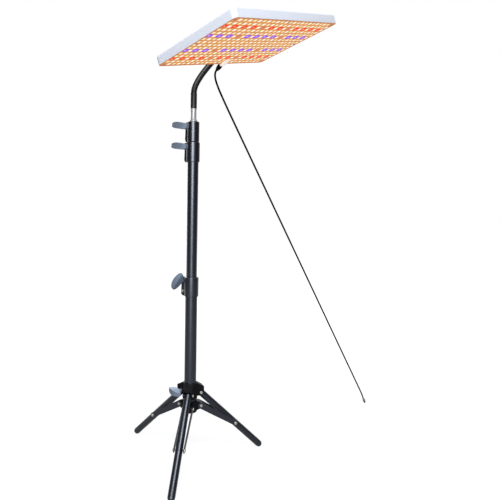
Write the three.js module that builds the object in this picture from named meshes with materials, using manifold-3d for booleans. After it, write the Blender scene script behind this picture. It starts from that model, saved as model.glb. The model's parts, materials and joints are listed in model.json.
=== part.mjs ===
// Plant grow light: a flat LED panel on a gooseneck, carried by a small folding light stand.
// Millimetres, +Z up. The stand rests on the plane z = 0, and +X is to the right of a viewer
// who looks along +Y. The column is first built round the Z axis. At the end the whole model
// is shifted so that its origin lies under the middle of the object, on the floor.
import * as THREE from "three";
import { mergeVertices } from "three/addons/utils/BufferGeometryUtils.js";
import Module from "manifold-3d";

const wasm = await Module();
wasm.setup();

// Gaps and cutting allowances
const seatGap = 0.3;
const slideGap = 0.4;
const overrun = 3;
const sameVertex = 0.0001;

// Telescopic column. An insert is how far a tube reaches down into the one below it.
const tubeWall = 0.9;
const lowerTubeRadius = 11.5;
const secondTubeRadius = 10;
const thirdTubeRadius = 8.5;
const topTubeRadius = 6.75;
const lowerTubeLength = 250;
const secondTubeInsert = 40;
const secondTubeLength = 286;
const thirdTubeLength = 248;
const topTubeRise = 18;
const plugFlange = 3;
const plugDepth = 5;

// Clamp collars. A seat is the length of tube that a collar is fixed on.
const collarEdge = 1;
const collarTurn = 135;
const slitWidth = 2.4;
const lowerCollarSeat = 20;
const lowerCollarHeight = 37;
const lowerCollarRadius = 13.5;
const lowerEarReach = 22;
const lowerEarHalf = 6;
const lowerBoltDrop = 8.5;
const middleCollarSeat = 22;
const middleCollarHeight = 34;
const middleCollarRadius = 11.9;
const middleEarReach = 17;
const middleEarHalf = 5.5;
const middleBoltDrop = 7;
const upperCollarSeat = 21.7;
const upperCollarHeight = 34;
const upperCollarRadius = 10.6;
const upperEarReach = 15.7;
const upperEarHalf = 5.3;
const upperBoltDrop = 7;
const earBottomRound = 6.4;
const earTopRound = 3;
const boltRadius = 2;
const lowerBoltInset = 4.6;
const smallBoltInset = 2.9;
const earStep = 0.7;
const clampRivetRise = 9;

// Wing knobs and nuts. A wing is a leaf: thickest and deepest at its middle.
const wingLength = 37;
const wingDepth = 15;
const wingThickness = 11;
const wingTipDepth = 6;
const wingTipThickness = 6.4;
const wingStem = 6.5;
const knobBossRadius = 3.4;
const nutAcross = 7;
const nutThickness = 3.2;
const lowerKnobTilt = 54;
const middleKnobTilt = -6;
const upperKnobTilt = -8;
const lockKnobTilt = 0;

// Leg hub and brace hub. Rises are above the legs' pivots, drops are below them.
const frontAzimuth = -11.2;
const legCount = 3;
const hubRadius = 14.5;
const legHubDrop = 12;
const legHubRise = 21;
const legPivotRadius = 20;
const legPivotHeight = 140;
const lobeHalf = 9.2;
const lobeReach = 26;
const lobeShoulderRise = 12.5;
const lobeEarRound = 6;
const slotRise = 8;
const braceHubRadius = 14;
const bracePivotDrop = 27;
const braceHubAbove = 11;
const braceHubBelow = 13;
const tubeFootRise = 2;
const tongueHalf = 8.4;
const tongueRound = 6.4;
const lockRise = 7;
const lockAzimuth = -60;
const lockBossRadius = 5;
const lockBossReach = 20;
const pivotPinRadius = 1.6;
const pivotHeadRadius = 3;
const pivotHeadThickness = 1.4;

// Legs, foot caps and braces
const legRadius = 7;
const legWall = 0.8;
const footRadius = 155.2;
const footCentreHeight = 6.4;
const footCapLength = 15;
const legRivetDistance = 107;
const stripThickness = 1.5;
const stripInnerHalf = 8.75;
const stripHubRound = 6.4;
const stripOuterRound = 5.2;

// Spigot and gooseneck
const spigotFlareRadius = 6.8;
const spigotFlareHeight = 1.6;
const spigotWaistRadius = 4.9;
const spigotShoulder = 7;
const spigotStubRadius = 4;
const spigotStubLength = 17;
const spigotInsert = 14;
const ferruleRadius = 5.5;
const ferruleLength = 26;
const ferruleRise = 22;
const neckRadius = 5;
const neckRootRadius = 3.8;
const neckRootLength = 6;
const neckLinkCount = 6;
const neckStartPull = 33;
const neckEndPull = 136;
const neckEndAzimuth = -96.4;
const neckEndElevation = -14.6;

// Panel, in its own frame: X along its length, Y towards the edge over the column, Z to its back
const panelX = 87.7;
const panelY = -76.8;
const panelRise = 56.2;
const panelYaw = 46.36;
const panelPitch = -12.33;
const panelRoll = -11.49;
const panelLength = 266;
const panelWidth = 158;
const panelDepth = 13;
const panelCorner = 7;
const panelEdge = 2;
const panelWall = 1.6;
const boardRecess = 0.8;
const boardThickness = 1.6;
const bossRadius = 17;
const bossHeight = 1.2;

// Panel bracket
const turntableRadius = 14;
const turntableThickness = 3;
const bracketPinHeight = 14;
const bracketEarRound = 7;
const bracketEarThickness = 3;
const tiltPinRadius = 2.2;
const tiltHeadRadius = 4;
const tiltHeadThickness = 2.4;
const tongueThickness = 5;
const tongueEndRound = 6;
const tipCollarRadius = 5.6;
const tipCollarLength = 7;
const tongueLength = 12;

// Panel inlet, screws and cord
const inletPlace = 20;
const inletWidth = 9;
const inletHeight = 7;
const inletInside = 17;
const inletOutside = 2;
const inletDrop = 3.2;
const screwHeadRadius = 2.6;
const screwHeadHeight = 1;
const screwInset = 7;
const connectorDrop = 20;
const connectorLength = 13;
const connectorRadius = 3.3;
const connectorTipRadius = 2.6;
const connectorRing = 1.9;
const connectorGroove = 0.5;
const cordRadius = 1.75;
const cordLaidFor = 692.6;
const plugRadius = 3.2;
const plugTaper = 0.8;
const plugLength = 24;
const plugTipRadius = 2.5;
const plugTipLength = 8;

// Numbers of sides
const tubeSides = 24;
const smallSides = 8;
const middleSides = 16;
const neckSides = 12;
const ballSides = 12;
const ballRings = 6;
const cornerSides = 3;
const neckSteps = 3;
const cordSides = 8;
const cordStepsEach = 2;
const nutSides = 6;

// Materials
const blackPaint = { color: 0x23242b, roughness: 0.38, metalness: 0.3 };
const blackPlastic = { color: 0x1c1c1f, roughness: 0.55, metalness: 0 };
const castMetal = { color: 0x8497ad, roughness: 0.42, metalness: 0.75 };
const brightMetal = { color: 0xd6d2c6, roughness: 0.28, metalness: 0.9 };
const spunMetal = { color: 0xdadce2, roughness: 0.3, metalness: 0.9 };
const whitePlastic = { color: 0xe8ebf5, roughness: 0.4, metalness: 0 };
const litBoard = { color: 0xeca060, roughness: 0.6, metalness: 0, emissive: 0xeca060 };
const blackRubber = { color: 0x141416, roughness: 0.75, metalness: 0 };

const degrees = THREE.MathUtils.degToRad;

// A closed geometry as a solid with its faces turned outwards.
function solid(geometry) {
  const bare = geometry.index ? geometry.toNonIndexed() : geometry.clone();
  bare.deleteAttribute("normal");
  bare.deleteAttribute("uv");
  const merged = mergeVertices(bare, sameVertex);
  const corners = [];
  for (let i = 0; i < merged.index.count; i += 3) {
    const [a, b, c] = [0, 1, 2].map((k) => merged.index.getX(i + k));
    if (a !== b && b !== c && c !== a) corners.push(a, b, c);
  }
  const made = (order) =>
    new wasm.Manifold(
      new wasm.Mesh({
        numProp: 3,
        vertProperties: merged.attributes.position.array,
        triVerts: new Uint32Array(order),
      }),
    );
  const first = made(corners);
  return first.volume() > 0 ? first : made(corners.reverse());
}

// A solid's surface as a geometry with flat faces.
function surface(body) {
  const mesh = body.getMesh();
  const places = new Float32Array(mesh.numVert * 3);
  for (let i = 0; i < mesh.numVert; i++) {
    places.set(mesh.vertProperties.subarray(i * mesh.numProp, i * mesh.numProp + 3), i * 3);
  }
  const shared = new THREE.BufferGeometry();
  shared.setAttribute("position", new THREE.BufferAttribute(places, 3));
  shared.setIndex(new THREE.BufferAttribute(mesh.triVerts, 1));
  const flat = shared.toNonIndexed();
  flat.computeVertexNormals();
  return flat;
}

const join = (...shapes) => surface(shapes.map(solid).reduce((a, b) => a.add(b)));
const cut = (body, ...tools) =>
  surface(tools.map(solid).reduce((a, b) => a.subtract(b), solid(body)));
const common = (a, b) => surface(solid(a).intersect(solid(b)));

// A profile of radius and height pairs, turned round the Z axis.
function turned(profile, sides = tubeSides) {
  const points = profile.map(([r, z]) => new THREE.Vector2(r, z));
  return new THREE.LatheGeometry(points, sides).rotateX(Math.PI / 2);
}

const rod = (radius, low, high, sides = tubeSides) =>
  turned([[0, low], [radius, low], [radius, high], [0, high]], sides);

const pipe = (outer, inner, low, high, sides = tubeSides) =>
  turned([[inner, low], [outer, low], [outer, high], [inner, high], [inner, low]], sides);

// The same rod with its length along Y or along X.
const rodY = (radius, low, high, sides = smallSides) =>
  rod(radius, low, high, sides).rotateX(-Math.PI / 2);
const rodX = (radius, low, high, sides = smallSides) =>
  rod(radius, low, high, sides).rotateY(Math.PI / 2);

// A block between two corners.
function block(low, high) {
  const size = high.map((value, k) => value - low[k]);
  const middle = high.map((value, k) => (value + low[k]) / 2);
  return new THREE.BoxGeometry(...size).translate(...middle);
}

// An outline in X and Z, given thickness from one Y to another.
function slab(outline, from, to) {
  const settings = { depth: to - from, bevelEnabled: false, curveSegments: 2 * cornerSides };
  return new THREE.ExtrudeGeometry(outline, settings).rotateX(Math.PI / 2).translate(0, to, 0);
}

// A link outline: two round ends joined by their common tangents.
function linkOutline(x1, z1, r1, x2, z2, r2) {
  const heading = Math.atan2(z2 - z1, x2 - x1);
  const lean = Math.acos((r1 - r2) / Math.hypot(x2 - x1, z2 - z1));
  const outline = new THREE.Shape();
  outline.absarc(x1, z1, r1, heading + lean, heading - lean + 2 * Math.PI);
  outline.absarc(x2, z2, r2, heading - lean, heading + lean);
  outline.closePath();
  return outline;
}

function roundedRectangle(halfX, halfY, radius) {
  const outline = new THREE.Shape();
  outline.absarc(halfX - radius, halfY - radius, radius, 0, Math.PI / 2);
  outline.absarc(radius - halfX, halfY - radius, radius, Math.PI / 2, Math.PI);
  outline.absarc(radius - halfX, radius - halfY, radius, Math.PI, 1.5 * Math.PI);
  outline.absarc(halfX - radius, radius - halfY, radius, 1.5 * Math.PI, 2 * Math.PI);
  outline.closePath();
  return outline;
}

// The same shape on the other side of the plane Y = 0.
function mirrored(geometry) {
  const body = solid(geometry.clone().scale(1, -1, 1));
  return surface(body);
}

// Adds a named piece to a group.
function piece(name, geometry, finish, group) {
  const mesh = new THREE.Mesh(geometry, new THREE.MeshStandardMaterial(finish));
  mesh.name = name;
  group.add(mesh);
  return mesh;
}

// A group that other pieces hang on, with the name of the joint or seat at its origin.
function frameAt(name, parent, x, y, z, turn = 0) {
  const group = new THREE.Group();
  group.name = name;
  group.position.set(x, y, z);
  group.rotation.z = degrees(turn);
  parent.add(group);
  return group;
}

const light = new THREE.Group();
const stand = frameAt("stand", light, 0, 0, 0);

// Heights, from the legs' pivots up: the hubs, then each tube and the collar on its top.
// The third and top tubes are pushed in until the collars touch.
const legHubBottom = legPivotHeight - legHubDrop;
const legHubTop = legPivotHeight + legHubRise;
const bracePivotHeight = legPivotHeight - bracePivotDrop;
const braceHubBottom = bracePivotHeight - braceHubBelow;
const braceHubTop = bracePivotHeight + braceHubAbove;
const lowerTubeBottom = braceHubBottom + tubeFootRise;
const lowerTubeTop = lowerTubeBottom + lowerTubeLength;
const lowerCollarBottom = lowerTubeTop - lowerCollarSeat;
const secondTubeBottom = lowerTubeTop - secondTubeInsert;
const secondTubeTop = secondTubeBottom + secondTubeLength;
const middleCollarBottom = secondTubeTop - middleCollarSeat;
const upperCollarBottom = middleCollarBottom + middleCollarHeight + seatGap;
const thirdTubeTop = upperCollarBottom + upperCollarSeat;
const thirdTubeBottom = thirdTubeTop - thirdTubeLength;
const topTubeBottom = thirdTubeBottom + topTubeRise;
const columnTop = upperCollarBottom + upperCollarHeight;

// Telescopic column: four tubes, each sliding in the one below
const tubes = [
  ["lower_tube", lowerTubeRadius, lowerTubeBottom, lowerTubeTop],
  ["second_tube", secondTubeRadius, secondTubeBottom, secondTubeTop],
  ["third_tube", thirdTubeRadius, thirdTubeBottom, thirdTubeTop],
  ["top_tube", topTubeRadius, topTubeBottom, columnTop],
];
for (const [name, radius, low, high] of tubes) {
  piece(name, pipe(radius, radius - tubeWall, low, high), blackPaint, stand);
}

// A plug that closes a tube's lower end. On a sliding tube its flange guides the tube
// in the bore of the tube outside it.
function tubePlug(radius, flangeRadius, end, sides) {
  const stem = radius - tubeWall - seatGap;
  const flangeTop = end - seatGap;
  return turned([
    [0, flangeTop - plugFlange],
    [flangeRadius - collarEdge, flangeTop - plugFlange],
    [flangeRadius, flangeTop - plugFlange + collarEdge],
    [flangeRadius, flangeTop],
    [stem, flangeTop],
    [stem, end + plugDepth],
    [0, end + plugDepth],
  ], sides);
}
const guideRadius = (outerRadius) => outerRadius - tubeWall - seatGap;
const endPlug = tubePlug(lowerTubeRadius, lowerTubeRadius, lowerTubeBottom, tubeSides);
piece("column_end_plug", endPlug, blackPlastic, stand);
const guides = [
  ["second_tube_guide", secondTubeRadius, lowerTubeRadius, secondTubeBottom],
  ["third_tube_guide", thirdTubeRadius, secondTubeRadius, thirdTubeBottom],
  ["top_tube_guide", topTubeRadius, thirdTubeRadius, topTubeBottom],
];
for (const [name, radius, around, end] of guides) {
  piece(name, tubePlug(radius, guideRadius(around), end, middleSides), blackPlastic, stand);
}

// A leaf outline along X: full at its middle, with blunt ends.
function leaf(halfLength, halfMiddle, halfEnd) {
  const outline = new THREE.Shape();
  outline.moveTo(-halfLength, -halfEnd);
  outline.quadraticCurveTo(-halfLength / 2, -halfMiddle, 0, -halfMiddle);
  outline.quadraticCurveTo(halfLength / 2, -halfMiddle, halfLength, -halfEnd);
  outline.lineTo(halfLength, halfEnd);
  outline.quadraticCurveTo(halfLength / 2, halfMiddle, 0, halfMiddle);
  outline.quadraticCurveTo(-halfLength / 2, halfMiddle, -halfLength, halfEnd);
  outline.closePath();
  return outline;
}

// A wing knob cast round its screw. The screw runs along Y, and the wing stands on the +Y side.
// The wing is what two leaves have in common: one seen along Z, the other along Y.
function wingKnob(screwFrom, bossFrom, tilt) {
  const wingMiddle = bossFrom + wingStem + wingDepth / 2;
  const half = wingLength / 2;
  const flat = new THREE.ExtrudeGeometry(leaf(half, wingDepth / 2, wingTipDepth / 2), {
    depth: wingThickness,
    bevelEnabled: false,
    curveSegments: cornerSides,
  });
  const upright = slab(leaf(half, wingThickness / 2, wingTipThickness / 2), -wingDepth, wingDepth);
  const wing = common(flat.translate(0, 0, -wingThickness / 2), upright).translate(0, wingMiddle, 0);
  const boss = turned([
    [0, bossFrom],
    [knobBossRadius, bossFrom],
    [knobBossRadius + collarEdge, wingMiddle],
    [0, wingMiddle],
  ], smallSides).rotateX(-Math.PI / 2);
  const screw = rodY(boltRadius, screwFrom, bossFrom + overrun);
  return join(wing, boss, screw).rotateY(degrees(tilt));
}

// A hexagon nut on a screw along Y.
function hexNut(from) {
  const outline = new THREE.Shape();
  for (let k = 0; k < nutSides; k++) {
    const angle = ((2 * k + 1) * Math.PI) / nutSides;
    const corner = nutAcross / 2 / Math.cos(Math.PI / nutSides);
    outline[k ? "lineTo" : "moveTo"](corner * Math.cos(angle), corner * Math.sin(angle));
  }
  outline.closePath();
  return cut(
    slab(outline, from, from + nutThickness),
    rodY(boltRadius + seatGap, from - overrun, from + nutThickness + overrun),
  );
}

// A pin across a hub with a head on each side.
function crossPin(half) {
  const reach = half + seatGap;
  return join(
    rodY(pivotPinRadius, -reach - pivotHeadThickness / 2, reach + pivotHeadThickness / 2),
    rodY(pivotHeadRadius, reach, reach + pivotHeadThickness),
    rodY(pivotHeadRadius, -reach - pivotHeadThickness, -reach),
  );
}

// A clamp collar in its own frame: its bottom at z = 0, its split ear along +X.
// It is seated on the tube below its step and lets the inner tube slide above the step.
function clampCollar(c) {
  const grip = c.tube + seatGap;
  const pass = c.inner + slideGap;
  const step = c.seat + seatGap;
  const barrel = turned([
    [grip, 0],
    [c.radius - collarEdge, 0],
    [c.radius, collarEdge],
    [c.radius, c.height - collarEdge],
    [c.radius - collarEdge, c.height],
    [grip, c.height],
    [grip, 0],
  ]);
  const ear = new THREE.Shape();
  ear.moveTo(grip, 0);
  ear.lineTo(c.earReach - earBottomRound, 0);
  ear.quadraticCurveTo(c.earReach, 0, c.earReach, earBottomRound);
  ear.lineTo(c.earReach - earStep, c.height / 2);
  ear.lineTo(c.earReach - earStep, c.height - earTopRound);
  ear.quadraticCurveTo(c.earReach - earStep, c.height, c.earReach - earTopRound, c.height);
  ear.lineTo(grip, c.height);
  ear.closePath();
  const neck = pipe(c.radius - collarEdge, pass, step, c.height);
  const whole = join(barrel, slab(ear, -c.earHalf, c.earHalf), neck);
  const tools = [
    rod(grip, -overrun, step),
    rod(pass, step - overrun, c.height + overrun),
    block(
      [pass / 2, -slitWidth / 2, -overrun],
      [c.earReach + overrun, slitWidth / 2, c.height + overrun],
    ),
    rodY(boltRadius + seatGap, -c.earHalf - overrun, c.earHalf + overrun)
      .translate(c.earReach - c.boltInset, 0, c.height - c.boltDrop),
  ];
  if (c.rivetRise) {
    tools.push(
      rodY(pivotPinRadius + seatGap, -c.earHalf - overrun, c.earHalf + overrun)
        .translate(c.earReach - c.boltInset, 0, c.rivetRise),
    );
  }
  return cut(whole, ...tools);
}

const collars = [
  {
    name: "lower", bottom: lowerCollarBottom, height: lowerCollarHeight, radius: lowerCollarRadius,
    tube: lowerTubeRadius, inner: secondTubeRadius, seat: lowerCollarSeat,
    earReach: lowerEarReach, earHalf: lowerEarHalf, boltDrop: lowerBoltDrop, tilt: lowerKnobTilt,
    boltInset: lowerBoltInset, rivetRise: clampRivetRise,
  },
  {
    name: "middle", bottom: middleCollarBottom, height: middleCollarHeight, radius: middleCollarRadius,
    tube: secondTubeRadius, inner: thirdTubeRadius, seat: middleCollarSeat,
    earReach: middleEarReach, earHalf: middleEarHalf, boltDrop: middleBoltDrop, tilt: middleKnobTilt,
    boltInset: smallBoltInset,
  },
  {
    name: "upper", bottom: upperCollarBottom, height: upperCollarHeight, radius: upperCollarRadius,
    tube: thirdTubeRadius, inner: topTubeRadius, seat: upperCollarSeat,
    earReach: upperEarReach, earHalf: upperEarHalf, boltDrop: upperBoltDrop, tilt: upperKnobTilt,
    boltInset: smallBoltInset,
  },
];
for (const c of collars) {
  const seat = frameAt(`${c.name}_clamp`, stand, 0, 0, c.bottom, collarTurn);
  piece(`${c.name}_clamp_collar`, clampCollar(c), blackPlastic, seat);
  const boltX = c.earReach - c.boltInset;
  const screw = frameAt(`${c.name}_knob_turn`, seat, boltX, 0, c.height - c.boltDrop);
  const nutFrom = -c.earHalf - seatGap - nutThickness;
  piece(`${c.name}_clamp_nut`, hexNut(nutFrom), brightMetal, screw);
  const knob = wingKnob(nutFrom - boltRadius / 2, c.earHalf + seatGap, c.tilt);
  piece(`${c.name}_clamp_knob`, knob, castMetal, screw);
  if (c.rivetRise) {
    const rivet = crossPin(c.earHalf).translate(boltX, 0, c.rivetRise);
    piece(`${c.name}_clamp_rivet`, rivet, brightMetal, seat);
  }
}

// Brace hub, fixed on the foot of the lower tube: a ring with one tongue for each leg
const legAzimuths = {
  front: frontAzimuth,
  right: frontAzimuth + 360 / legCount,
  left: frontAzimuth - 360 / legCount,
};
const azimuthTurn = (azimuth) => azimuth - 90;
const atAzimuth = (geometry, azimuth) => geometry.rotateZ(degrees(azimuthTurn(azimuth)));
const hubRing = (radius, low, high) => turned([
  [0, low],
  [radius - collarEdge, low],
  [radius, low + collarEdge],
  [radius, high - collarEdge],
  [radius - collarEdge, high],
  [0, high],
]);
const crossHole = (radius, half, x, z) => rodY(radius, -half - overrun, half + overrun).translate(x, 0, z);
const braceRoot = [0, bracePivotHeight, braceHubRadius - collarEdge];
const braceTip = [legPivotRadius, bracePivotHeight, tongueRound];
const tongues = Object.values(legAzimuths).map((azimuth) =>
  atAzimuth(slab(linkOutline(...braceRoot, ...braceTip), -tongueHalf, tongueHalf), azimuth));
const tongueHoles = Object.values(legAzimuths).map((azimuth) =>
  atAzimuth(crossHole(pivotPinRadius + seatGap, tongueHalf, legPivotRadius, bracePivotHeight), azimuth));
piece(
  "brace_hub",
  cut(
    join(hubRing(braceHubRadius, braceHubBottom, braceHubTop), ...tongues),
    rod(lowerTubeRadius + seatGap, braceHubBottom - overrun, braceHubTop + overrun),
    ...tongueHoles,
  ),
  blackPlastic,
  stand,
);

// Leg hub, sliding on the lower tube: a ring with a channel for each leg and a lock screw
const lobeOutline = new THREE.Shape();
lobeOutline.moveTo(lowerTubeRadius, legPivotHeight - lobeEarRound);
lobeOutline.lineTo(legPivotRadius, legPivotHeight - lobeEarRound);
lobeOutline.absarc(legPivotRadius, legPivotHeight, lobeEarRound, -Math.PI / 2, 0);
lobeOutline.lineTo(lobeReach, legPivotHeight + lobeShoulderRise);
lobeOutline.lineTo(lowerTubeRadius, legHubTop);
lobeOutline.closePath();
const hub = frameAt("leg_fold", stand, 0, 0, 0);
const lobes = Object.values(legAzimuths).map((azimuth) =>
  atAzimuth(slab(lobeOutline, -lobeHalf, lobeHalf), azimuth));
const legClear = legRadius + slideGap;
const lobeSlots = Object.values(legAzimuths).flatMap((azimuth) => [
  atAzimuth(block(
    [legPivotRadius - legClear, -legClear, legHubBottom - overrun],
    [lobeReach + overrun, legClear, legPivotHeight + slotRise],
  ), azimuth),
  atAzimuth(crossHole(pivotPinRadius + seatGap, lobeHalf, legPivotRadius, legPivotHeight), azimuth),
]);
const lockHeight = legPivotHeight + lockRise;
const lockTurn = azimuthTurn(lockAzimuth) - 90;
const lockBoss = rodY(lockBossRadius, lowerTubeRadius, lockBossReach)
  .translate(0, 0, lockHeight).rotateZ(degrees(lockTurn));
const lockHole = rodY(boltRadius + seatGap, 0, lockBossReach + overrun)
  .translate(0, 0, lockHeight).rotateZ(degrees(lockTurn));
piece(
  "leg_hub",
  cut(
    join(hubRing(hubRadius, legHubBottom, legHubTop), ...lobes, lockBoss),
    rod(lowerTubeRadius + slideGap, legHubBottom - overrun, legHubTop + overrun),
    ...lobeSlots,
    lockHole,
  ),
  blackPlastic,
  hub,
);
const lock = frameAt("lock_knob_turn", hub, 0, 0, lockHeight, lockTurn);
const lockKnob = wingKnob(lowerTubeRadius + seatGap, lockBossReach + seatGap, lockKnobTilt);
piece("leg_lock_knob", lockKnob, castMetal, lock);

// A leg: a tube with a round closed top end on its hinge, hanging along -Z.
const legReach = footRadius - legPivotRadius;
const legDrop = legPivotHeight - footCentreHeight;
const legLength = Math.hypot(legReach, legDrop);
const legAngle = Math.atan2(legReach, legDrop);
function legTube() {
  const end = footCapLength - legLength;
  const profile = [];
  for (let k = 0; k <= cornerSides; k++) {
    const angle = (k * Math.PI) / 2 / cornerSides;
    profile.push([(legRadius - legWall) * Math.sin(angle), (legRadius - legWall) * Math.cos(angle)]);
  }
  profile.push([legRadius - legWall, end], [legRadius, end]);
  for (let k = cornerSides; k >= 0; k--) {
    const angle = (k * Math.PI) / 2 / cornerSides;
    profile.push([legRadius * Math.sin(angle), legRadius * Math.cos(angle)]);
  }
  return cut(
    turned(profile, neckSides),
    crossHole(pivotPinRadius + seatGap, legRadius, 0, 0),
  );
}

// A rubber cap on the leg's end, cut flat where it stands on the floor.
function footCap() {
  const top = footCapLength - legLength - seatGap;
  const stem = legRadius - legWall - seatGap;
  const stemTop = top + footCapLength / 2;
  const profile = [[0, stemTop], [stem, stemTop], [stem, top], [legRadius, top]];
  for (let k = 0; k <= cornerSides; k++) {
    const angle = (k * Math.PI) / 2 / cornerSides;
    profile.push([legRadius * Math.cos(angle), -legLength - legRadius * Math.sin(angle)]);
  }
  const floor = block(
    [-2 * legRadius, -2 * legRadius, -footCentreHeight - 2 * legRadius],
    [2 * legRadius, 2 * legRadius, -footCentreHeight],
  );
  floor.rotateY(legAngle).translate(0, 0, -legLength);
  return cut(turned(profile, neckSides), floor);
}

// One flat strip of a brace, between the brace hub's tongue end and the leg. It carries its half
// of the rivet that joins it to the leg, and this stops just short of the leg's side.
const rivetX = legPivotRadius + legRivetDistance * Math.sin(legAngle);
const rivetZ = legPivotHeight - legRivetDistance * Math.cos(legAngle);
const braceLength = Math.hypot(rivetX - legPivotRadius, rivetZ - bracePivotHeight);
const braceAngle = Math.atan2(bracePivotHeight - rivetZ, rivetX - legPivotRadius);
function braceStrip(side) {
  const outer = stripInnerHalf + stripThickness;
  const outline = linkOutline(0, 0, stripHubRound, braceLength, 0, stripOuterRound);
  const blank = slab(outline, stripInnerHalf, outer);
  const shank = rodY(pivotPinRadius, legRadius + seatGap, outer + pivotHeadThickness / 2);
  const head = rodY(pivotHeadRadius, outer - stripThickness / 2, outer + pivotHeadThickness);
  const strip = cut(
    join(blank, shank.translate(braceLength, 0, 0), head.translate(braceLength, 0, 0)),
    crossHole(pivotPinRadius + seatGap, outer, 0, 0),
  );
  return side > 0 ? strip : mirrored(strip);
}

for (const [place, azimuth] of Object.entries(legAzimuths)) {
  const turn = azimuthTurn(azimuth);
  const radial = frameAt(`${place}_leg_plane`, stand, 0, 0, 0, turn);
  const legHinge = frameAt(`leg_${place}_hinge`, radial, legPivotRadius, 0, legPivotHeight);
  piece(`leg_pin_${place}`, crossPin(lobeHalf), brightMetal, legHinge);
  const leg = new THREE.Group();
  leg.rotation.y = -legAngle;
  legHinge.add(leg);
  piece(`leg_${place}`, legTube(), blackPaint, leg);
  piece(`foot_cap_${place}`, footCap(), blackRubber, leg);
  const braceHinge = frameAt(`brace_${place}_hinge`, radial, legPivotRadius, 0, bracePivotHeight);
  piece(`brace_pin_${place}`, crossPin(stripInnerHalf + stripThickness), brightMetal, braceHinge);
  const brace = new THREE.Group();
  brace.rotation.y = braceAngle;
  braceHinge.add(brace);
  for (const [hand, side] of [["a", 1], ["b", -1]]) {
    piece(`brace_${place}_strip_${hand}`, braceStrip(side), blackPaint, brace);
  }
}

// Aluminium spigot on the top tube, and the neck's ferrule on the spigot
const spigotBottom = columnTop + seatGap;
const ferruleBottom = spigotBottom + ferruleRise;
const ferruleTop = ferruleBottom + ferruleLength;
const spigotShoulderTop = ferruleBottom - seatGap;
piece("spigot", turned([
  [0, columnTop - spigotInsert],
  [topTubeRadius - tubeWall - seatGap, columnTop - spigotInsert],
  [topTubeRadius - tubeWall - seatGap, spigotBottom],
  [spigotFlareRadius, spigotBottom],
  [spigotFlareRadius, spigotBottom + spigotFlareHeight],
  [spigotWaistRadius + collarEdge / 2, spigotBottom + spigotShoulder / 2],
  [spigotWaistRadius, spigotBottom + spigotShoulder],
  [spigotWaistRadius, spigotShoulderTop - spigotShoulder / 2],
  [ferruleRadius - seatGap, spigotShoulderTop],
  [spigotStubRadius, spigotShoulderTop],
  [spigotStubRadius, spigotShoulderTop + spigotStubLength],
  [0, spigotShoulderTop + spigotStubLength],
], middleSides), spunMetal, stand);
const neckSwivel = frameAt("neck_swivel", stand, 0, 0, ferruleBottom);
piece("neck_ferrule", cut(
  turned([
    [0, ferruleBottom],
    [ferruleRadius, ferruleBottom],
    [ferruleRadius, ferruleTop - collarEdge / 2],
    [ferruleRadius - collarEdge / 2, ferruleTop],
    [0, ferruleTop],
  ], middleSides),
  rod(
    spigotStubRadius + seatGap,
    ferruleBottom - overrun,
    spigotShoulderTop + spigotStubLength + seatGap,
    middleSides,
  ),
  rod(neckRootRadius + seatGap, ferruleTop - neckRootLength - seatGap, ferruleTop + overrun, middleSides),
).translate(0, 0, -ferruleBottom), blackPaint, neckSwivel);

// Panel frame
const panel = frameAt("panel", stand, panelX, panelY, ferruleTop + panelRise);
panel.rotation.set(degrees(panelRoll), degrees(panelPitch), degrees(panelYaw), "ZYX");
panel.updateMatrixWorld(true);

// Neck centre line: from the ferrule up and over the panel's edge to the bracket's pin
const pinHeight = panelDepth + bossHeight + seatGap + bracketPinHeight;
const pinPlace = panel.localToWorld(new THREE.Vector3(0, 0, pinHeight));
const neckEndHeading = new THREE.Vector3(
  Math.cos(degrees(neckEndElevation)) * Math.cos(degrees(neckEndAzimuth)),
  Math.cos(degrees(neckEndElevation)) * Math.sin(degrees(neckEndAzimuth)),
  Math.sin(degrees(neckEndElevation)),
);
const neckStart = new THREE.Vector3(0, 0, ferruleTop + seatGap);
const neckLine = new THREE.CubicBezierCurve3(
  neckStart,
  neckStart.clone().add(new THREE.Vector3(0, 0, neckStartPull)),
  pinPlace.clone().addScaledVector(neckEndHeading, -neckEndPull),
  pinPlace,
);
neckLine.arcLengthDivisions = 2000;

// A stretch of a curve between two shares of its length.
class Stretch extends THREE.Curve {
  constructor(whole, fromShare, toShare) {
    super();
    this.whole = whole;
    this.fromShare = fromShare;
    this.toShare = toShare;
  }

  getPoint(share, target = new THREE.Vector3()) {
    return this.whole.getPointAt(THREE.MathUtils.lerp(this.fromShare, this.toShare, share), target);
  }
}

function circle(radius, sides) {
  const outline = new THREE.Shape();
  for (let k = 0; k < sides; k++) {
    const angle = (2 * Math.PI * k) / sides;
    outline[k ? "lineTo" : "moveTo"](radius * Math.cos(angle), radius * Math.sin(angle));
  }
  outline.closePath();
  return outline;
}

const tubeAlong = (curve, radius, steps, sides) =>
  new THREE.ExtrudeGeometry(circle(radius, sides), { steps, extrudePath: curve, bevelEnabled: false });

// Gooseneck: links that turn on one another. The upper end of a link is a ball,
// and the lower end of the next one is a cup round that ball.
const neckLength = neckLine.getLength();
const tipStart = 1 - (tongueLength + tipCollarLength) / neckLength;
const jointShare = (k) => (k * tipStart) / (neckLinkCount + 1);
const ball = (radius, share) =>
  new THREE.SphereGeometry(radius, ballSides, ballRings).translate(...neckLine.getPointAt(share));
const jointHeading = (share) => {
  const step = 1 / neckLinkCount / neckLinkCount / 2;
  const before = neckLine.getTangentAt(share - step);
  const after = neckLine.getTangentAt(share + step);
  return before.cross(after).normalize();
};
const neckLinks = [];
for (let k = 0; k <= neckLinkCount; k++) {
  const from = jointShare(k);
  const to = jointShare(k + 1);
  const tube = tubeAlong(new Stretch(neckLine, from, to), neckRadius, neckSteps, neckSides);
  let shape = k < neckLinkCount ? join(tube, ball(neckRadius, to)) : tube;
  if (k > 0) shape = cut(shape, ball(neckRadius + seatGap, from));
  neckLinks.push(shape);
}

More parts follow.
